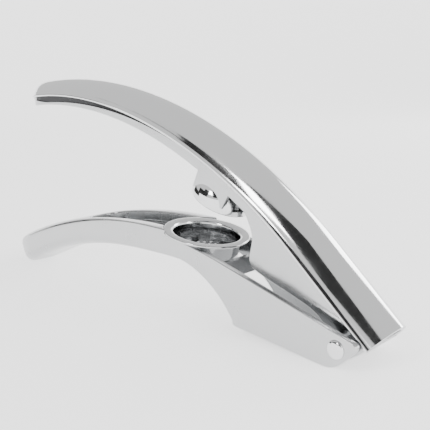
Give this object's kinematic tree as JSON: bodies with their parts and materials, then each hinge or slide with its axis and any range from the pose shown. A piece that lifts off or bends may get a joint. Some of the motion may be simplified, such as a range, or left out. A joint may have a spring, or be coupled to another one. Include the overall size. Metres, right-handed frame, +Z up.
{
  "type": "garlic press",
  "caption": "Hand-held garlic press: a forked lower handle with a sieve cup, hinged on a rivet to a domed upper lever that carries a bell-shaped plunger.",
  "frame": {"origin": "centre of the bounding box's footprint, on the plane that the press stands on", "axes": "+X along the handles towards the hinge, +Y across the press, +Z up, with the press standing on its hinge end and the tip of its lower handle"},
  "size_m": [0.1948, 0.0324, 0.0856],
  "materials": {
    "chrome": "polished chrome plating on the shell, the plunger and the rivet",
    "satin": "bright chrome plating over cast metal, slightly softer than the shell",
    "steel": "pressed stainless steel"
  },
  "bodies": {
    "lower_handle": {"lower_grip": "satin", "near_cheek": "satin", "far_cheek": "satin", "fork_bridge": "satin", "sieve_basket": "steel", "sieve_plate": "steel", "pivot_rivet": "chrome", "rivet_cap": "chrome", "near_washer": "steel", "far_washer": "steel"},
    "upper_lever": {"upper_shell": "chrome", "shell_end": "chrome", "near_web": "satin", "far_web": "satin", "plunger": "chrome", "plunger_stem": "satin", "pivot_sleeve": "satin"}
  },
  "joints": [
    {"name": "lever_hinge", "type": "hinge", "parent": "lower_handle", "child": "upper_lever", "pos_m": [0.08382, 0, 0.00704], "axis": [0, 1, 0], "range_deg": [-18, 50]}
  ]
}
